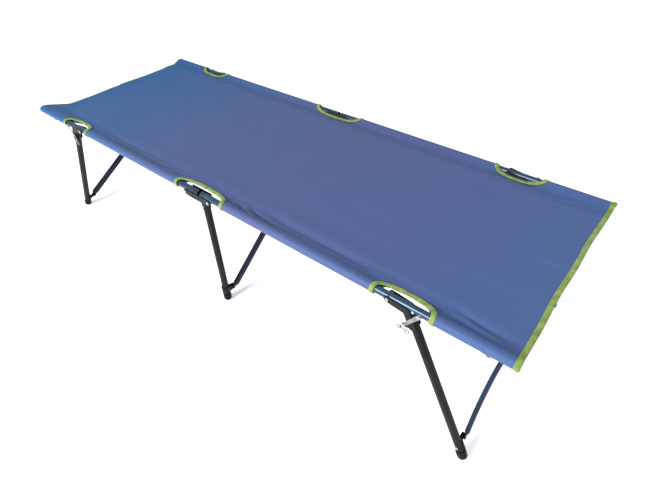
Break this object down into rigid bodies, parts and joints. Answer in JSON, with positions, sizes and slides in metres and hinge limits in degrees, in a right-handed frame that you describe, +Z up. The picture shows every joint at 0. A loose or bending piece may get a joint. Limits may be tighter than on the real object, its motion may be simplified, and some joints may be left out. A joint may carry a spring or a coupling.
{
  "type": "folding cot",
  "caption": "Folding camp cot: jointed tubular side rails, splayed folding legs with crossed braces and locking hooks, fabric bed with cut-outs over the hinges.",
  "frame": {"origin": "on the floor under the middle of the bed", "axes": "+X along the bed, -Y the near side in the picture, +Z up"},
  "size_m": [1.892, 0.6868, 0.4394],
  "materials": {
    "frame_paint": "satin powder coat",
    "rail_paint": "satin",
    "zinc_steel": "zinc plated",
    "black_rubber": "matte",
    "black_plastic": "matte",
    "blue_fabric": "woven polyester"
  },
  "bodies": {
    "near_centre": {"near_mid_leg": "frame_paint", "near_mid_bracket": "frame_paint", "near_mid_rivets": "zinc_steel", "near_mid_foot": "black_rubber", "near_mid_hub": "black_plastic"},
    "near_strut_body": {"near_mid_strut": "frame_paint", "strut_spacer": "zinc_steel"},
    "near_left_rail_body": {"near_left_rail": "rail_paint", "near_left_rail_studs": "zinc_steel", "near_left_sleeve": "blue_fabric", "deck_left": "blue_fabric"},
    "near_left_leg_body": {"near_left_leg": "frame_paint", "near_left_leg_bracket": "frame_paint", "near_left_leg_rivets": "zinc_steel", "near_left_foot": "black_rubber", "near_left_hub": "black_plastic"},
    "near_left_swivel_body": {"near_left_swivel": "zinc_steel"},
    "near_left_brace_body": {"near_left_brace": "frame_paint"},
    "near_left_hook_body": {"near_left_hook": "zinc_steel"},
    "near_right_rail_body": {"near_right_rail": "rail_paint", "near_right_rail_studs": "zinc_steel", "near_right_sleeve": "blue_fabric", "deck_right": "blue_fabric"},
    "near_right_leg_body": {"near_right_leg": "frame_paint", "near_right_leg_bracket": "frame_paint", "near_right_leg_rivets": "zinc_steel", "near_right_foot": "black_rubber", "near_right_hub": "black_plastic"},
    "near_right_swivel_body": {"near_right_swivel": "zinc_steel"},
    "near_right_brace_body": {"near_right_brace": "frame_paint"},
    "near_right_hook_body": {"near_right_hook": "zinc_steel"},
    "far_centre": {"far_mid_leg": "frame_paint", "far_mid_bracket": "frame_paint", "far_mid_rivets": "zinc_steel", "far_mid_foot": "black_rubber", "far_mid_hub": "black_plastic"},
    "far_strut_body": {"far_mid_strut": "frame_paint"},
    "far_left_rail_body": {"far_left_rail": "rail_paint", "far_left_rail_studs": "zinc_steel", "far_left_sleeve": "blue_fabric"},
    "far_left_leg_body": {"far_left_leg": "frame_paint", "far_left_leg_bracket": "frame_paint", "far_left_leg_rivets": "zinc_steel", "far_left_foot": "black_rubber", "far_left_hub": "black_plastic"},
    "far_left_swivel_body": {"far_left_swivel": "zinc_steel"},
    "far_left_brace_body": {"far_left_brace": "frame_paint"},
    "far_left_hook_body": {"far_left_hook": "zinc_steel"},
    "far_right_rail_body": {"far_right_rail": "rail_paint", "far_right_rail_studs": "zinc_steel", "far_right_sleeve": "blue_fabric"},
    "far_right_leg_body": {"far_right_leg": "frame_paint", "far_right_leg_bracket": "frame_paint", "far_right_leg_rivets": "zinc_steel", "far_right_foot": "black_rubber", "far_right_hub": "black_plastic"},
    "far_right_swivel_body": {"far_right_swivel": "zinc_steel"},
    "far_right_brace_body": {"far_right_brace": "frame_paint"},
    "far_right_hook_body": {"far_right_hook": "zinc_steel"}
  },
  "joints": [
    {"name": "width_fold", "type": "slide", "parent": "near_centre", "child": "far_centre", "axis": [0, -1, 0], "range_m": [0, 0.4542], "deforming": ["deck_left", "deck_right"]},
    {"name": "length_fold", "type": "hinge", "parent": "near_centre", "child": "near_right_rail_body", "pos_m": [0.043, -0.326, 0.42], "axis": [0, 1, 0], "range_deg": [0, 60]},
    {"name": "near_left_rail_fold", "type": "hinge", "parent": "near_centre", "child": "near_left_rail_body", "pos_m": [-0.057, -0.326, 0.42], "axis": [0, -1, 0], "range_deg": [0, 60.01]},
    {"name": "far_right_rail_fold", "type": "hinge", "parent": "far_centre", "child": "far_right_rail_body", "pos_m": [0.043, 0.326, 0.42], "axis": [0, 1, 0], "range_deg": [0, 60.01]},
    {"name": "far_left_rail_fold", "type": "hinge", "parent": "far_centre", "child": "far_left_rail_body", "pos_m": [-0.057, 0.326, 0.42], "axis": [0, -1, 0], "range_deg": [0, 60.01]},
    {"name": "near_right_leg_fold", "type": "hinge", "parent": "near_right_rail_body", "child": "near_right_leg_body", "pos_m": [0.651, -0.326, 0.428], "axis": [0, 1, 0], "range_deg": [0, 116.32]},
    {"name": "near_right_swivel_fold", "type": "hinge", "parent": "near_right_rail_body", "child": "near_right_swivel_body", "pos_m": [0.885, -0.326, 0.405], "axis": [0, 1, 0], "range_deg": [0, 88.63]},
    {"name": "near_right_brace_scissor", "type": "hinge", "parent": "near_right_swivel_body", "child": "near_right_brace_body", "pos_m": [0.8775, -0.3, 0.405], "axis": [-1, 0, 0], "range_deg": [0, 46.78]},
    {"name": "near_right_hook_swing", "type": "hinge", "parent": "near_right_rail_body", "child": "near_right_hook_body", "pos_m": [0.733, -0.326, 0.428], "axis": [0, -1, 0], "range_deg": [0, 55]},
    {"name": "near_left_leg_fold", "type": "hinge", "parent": "near_left_rail_body", "child": "near_left_leg_body", "pos_m": [-0.651, -0.326, 0.428], "axis": [0, -1, 0], "range_deg": [0, 116.32]},
    {"name": "near_left_swivel_fold", "type": "hinge", "parent": "near_left_rail_body", "child": "near_left_swivel_body", "pos_m": [-0.885, -0.326, 0.405], "axis": [0, -1, 0], "range_deg": [0, 88.63]},
    {"name": "near_left_brace_scissor", "type": "hinge", "parent": "near_left_swivel_body", "child": "near_left_brace_body", "pos_m": [-0.8775, -0.3, 0.405], "axis": [-1, 0, 0], "range_deg": [0, 46.78]},
    {"name": "near_left_hook_swing", "type": "hinge", "parent": "near_left_rail_body", "child": "near_left_hook_body", "pos_m": [-0.733, -0.326, 0.428], "axis": [0, 1, 0], "range_deg": [0, 55]},
    {"name": "far_right_leg_fold", "type": "hinge", "parent": "far_right_rail_body", "child": "far_right_leg_body", "pos_m": [0.651, 0.326, 0.428], "axis": [0, 1, 0], "range_deg": [0, 116.32]},
    {"name": "far_right_swivel_fold", "type": "hinge", "parent": "far_right_rail_body", "child": "far_right_swivel_body", "pos_m": [0.885, 0.326, 0.405], "axis": [0, 1, 0], "range_deg": [0, 88.78]},
    {"name": "far_right_brace_scissor", "type": "hinge", "parent": "far_right_swivel_body", "child": "far_right_brace_body", "pos_m": [0.8925, 0.3, 0.405], "axis": [1, 0, 0], "range_deg": [0, 46.78]},
    {"name": "far_right_hook_swing", "type": "hinge", "parent": "far_right_rail_body", "child": "far_right_hook_body", "pos_m": [0.733, 0.326, 0.428], "axis": [0, -1, 0], "range_deg": [0, 55]},
    {"name": "far_left_leg_fold", "type": "hinge", "parent": "far_left_rail_body", "child": "far_left_leg_body", "pos_m": [-0.651, 0.326, 0.428], "axis": [0, -1, 0], "range_deg": [0, 116.32]},
    {"name": "far_left_swivel_fold", "type": "hinge", "parent": "far_left_rail_body", "child": "far_left_swivel_body", "pos_m": [-0.885, 0.326, 0.405], "axis": [0, -1, 0], "range_deg": [0, 88.78]},
    {"name": "far_left_brace_scissor", "type": "hinge", "parent": "far_left_swivel_body", "child": "far_left_brace_body", "pos_m": [-0.8925, 0.3, 0.405], "axis": [1, 0, 0], "range_deg": [0, 46.78]},
    {"name": "far_left_hook_swing", "type": "hinge", "parent": "far_left_rail_body", "child": "far_left_hook_body", "pos_m": [-0.733, 0.326, 0.428], "axis": [0, 1, 0], "range_deg": [0, 55]},
    {"name": "near_strut_fold", "type": "hinge", "parent": "near_centre", "child": "near_strut_body", "pos_m": [0.024, -0.298, 0.04], "axis": [1, 0, 0], "range_deg": [0, 40.01]},
    {"name": "far_strut_fold", "type": "hinge", "parent": "far_centre", "child": "far_strut_body", "pos_m": [0.008, 0.298, 0.04], "axis": [-1, 0, 0], "range_deg": [0, 40.01]}
  ],
  "couplings": [
    {"joint": "near_left_rail_fold", "follows": "length_fold", "ratio": 1},
    {"joint": "far_right_rail_fold", "follows": "length_fold", "ratio": 1},
    {"joint": "far_left_rail_fold", "follows": "length_fold", "ratio": 1},
    {"joint": "near_right_leg_fold", "follows": "width_fold", "rad_per_m": 4.469},
    {"joint": "near_right_swivel_fold", "follows": "width_fold", "rad_per_m": 3.405},
    {"joint": "near_right_brace_scissor", "follows": "width_fold", "rad_per_m": 1.7967},
    {"joint": "near_left_leg_fold", "follows": "width_fold", "rad_per_m": 4.469},
    {"joint": "near_left_swivel_fold", "follows": "width_fold", "rad_per_m": 3.405},
    {"joint": "near_left_brace_scissor", "follows": "width_fold", "rad_per_m": 1.7967},
    {"joint": "far_right_leg_fold", "follows": "width_fold", "rad_per_m": 4.469},
    {"joint": "far_right_swivel_fold", "follows": "width_fold", "rad_per_m": 3.4106},
    {"joint": "far_right_brace_scissor", "follows": "width_fold", "rad_per_m": 1.7967},
    {"joint": "far_left_leg_fold", "follows": "width_fold", "rad_per_m": 4.469},
    {"joint": "far_left_swivel_fold", "follows": "width_fold", "rad_per_m": 3.4106},
    {"joint": "far_left_brace_scissor", "follows": "width_fold", "rad_per_m": 1.7967},
    {"joint": "near_strut_fold", "follows": "width_fold", "rad_per_m": 1.5365},
    {"joint": "far_strut_fold", "follows": "width_fold", "rad_per_m": 1.5365}
  ]
}
